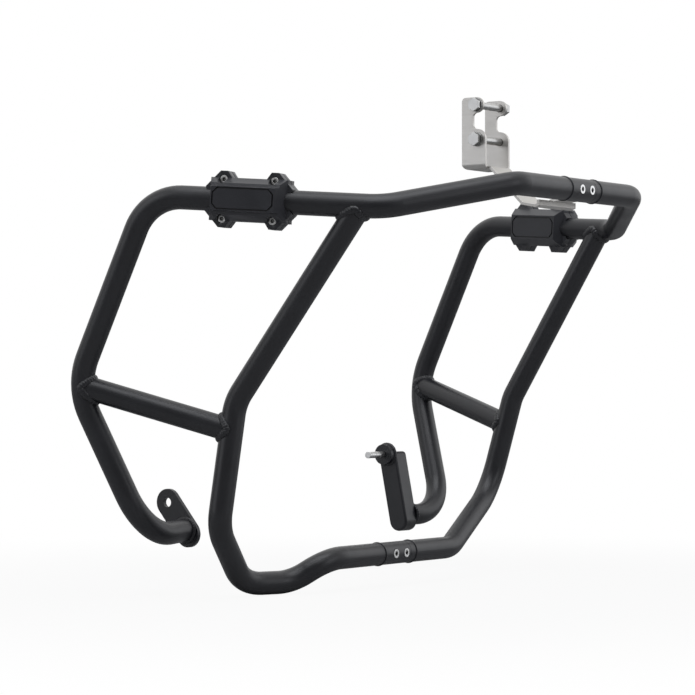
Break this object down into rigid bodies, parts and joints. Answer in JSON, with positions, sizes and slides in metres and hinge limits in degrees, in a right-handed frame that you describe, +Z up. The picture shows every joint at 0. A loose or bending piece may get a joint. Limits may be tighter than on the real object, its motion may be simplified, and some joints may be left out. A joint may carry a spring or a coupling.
{
  "type": "motorcycle crash bars",
  "caption": "Two bent tube halves in black powder coat, lap-joined at the front and below, with slider blocks, rear tab and stud mounts and a stainless front frame bracket.",
  "frame": {"origin": "midway between the two bolts of the front bracket, where it clamps the motorcycle's frame", "axes": "+X to the motorcycle's left, -Y to its front, +Z up"},
  "size_m": [0.688, 0.4444, 0.5456],
  "materials": {
    "powder_coat": "satin black powder coat with a fine grain",
    "black_plastic": "moulded, satin",
    "stainless_sheet": "brushed",
    "zinc_steel": "bright"
  },
  "bodies": {
    "root": {"right_main_tube": "powder_coat", "right_down_tube": "powder_coat", "right_cross_brace": "powder_coat", "right_mount_tab": "powder_coat", "right_upper_connector": "powder_coat", "right_lower_connector": "powder_coat", "left_main_tube": "powder_coat", "left_down_tube": "powder_coat", "left_cross_brace": "powder_coat", "left_mount_box": "powder_coat", "left_mount_boss": "powder_coat", "left_upper_connector": "powder_coat", "left_lower_connector": "powder_coat", "left_mount_stud": "zinc_steel", "upper_joint_screw_1": "zinc_steel", "upper_joint_screw_2": "zinc_steel", "lower_joint_screw_1": "zinc_steel", "lower_joint_screw_2": "zinc_steel", "upper_joint_nut_1": "zinc_steel", "upper_joint_nut_2": "zinc_steel", "bracket_bolt_1": "zinc_steel", "bracket_bolt_2": "zinc_steel", "bracket_nut_1": "zinc_steel", "bracket_nut_2": "zinc_steel", "bracket_washer_1": "zinc_steel", "bracket_washer_2": "zinc_steel", "bracket_washer_3": "zinc_steel", "bracket_washer_4": "zinc_steel", "right_block_screw_1": "zinc_steel", "right_block_screw_2": "zinc_steel", "right_block_screw_3": "zinc_steel", "right_block_screw_4": "zinc_steel", "left_block_screw_1": "zinc_steel", "left_block_screw_2": "zinc_steel", "left_block_screw_3": "zinc_steel", "left_block_screw_4": "zinc_steel", "bracket_channel": "stainless_sheet", "bracket_strap": "stainless_sheet", "right_block_outer": "black_plastic", "right_block_inner": "black_plastic", "left_block_outer": "black_plastic", "left_block_inner": "black_plastic"}
  },
  "joints": []
}
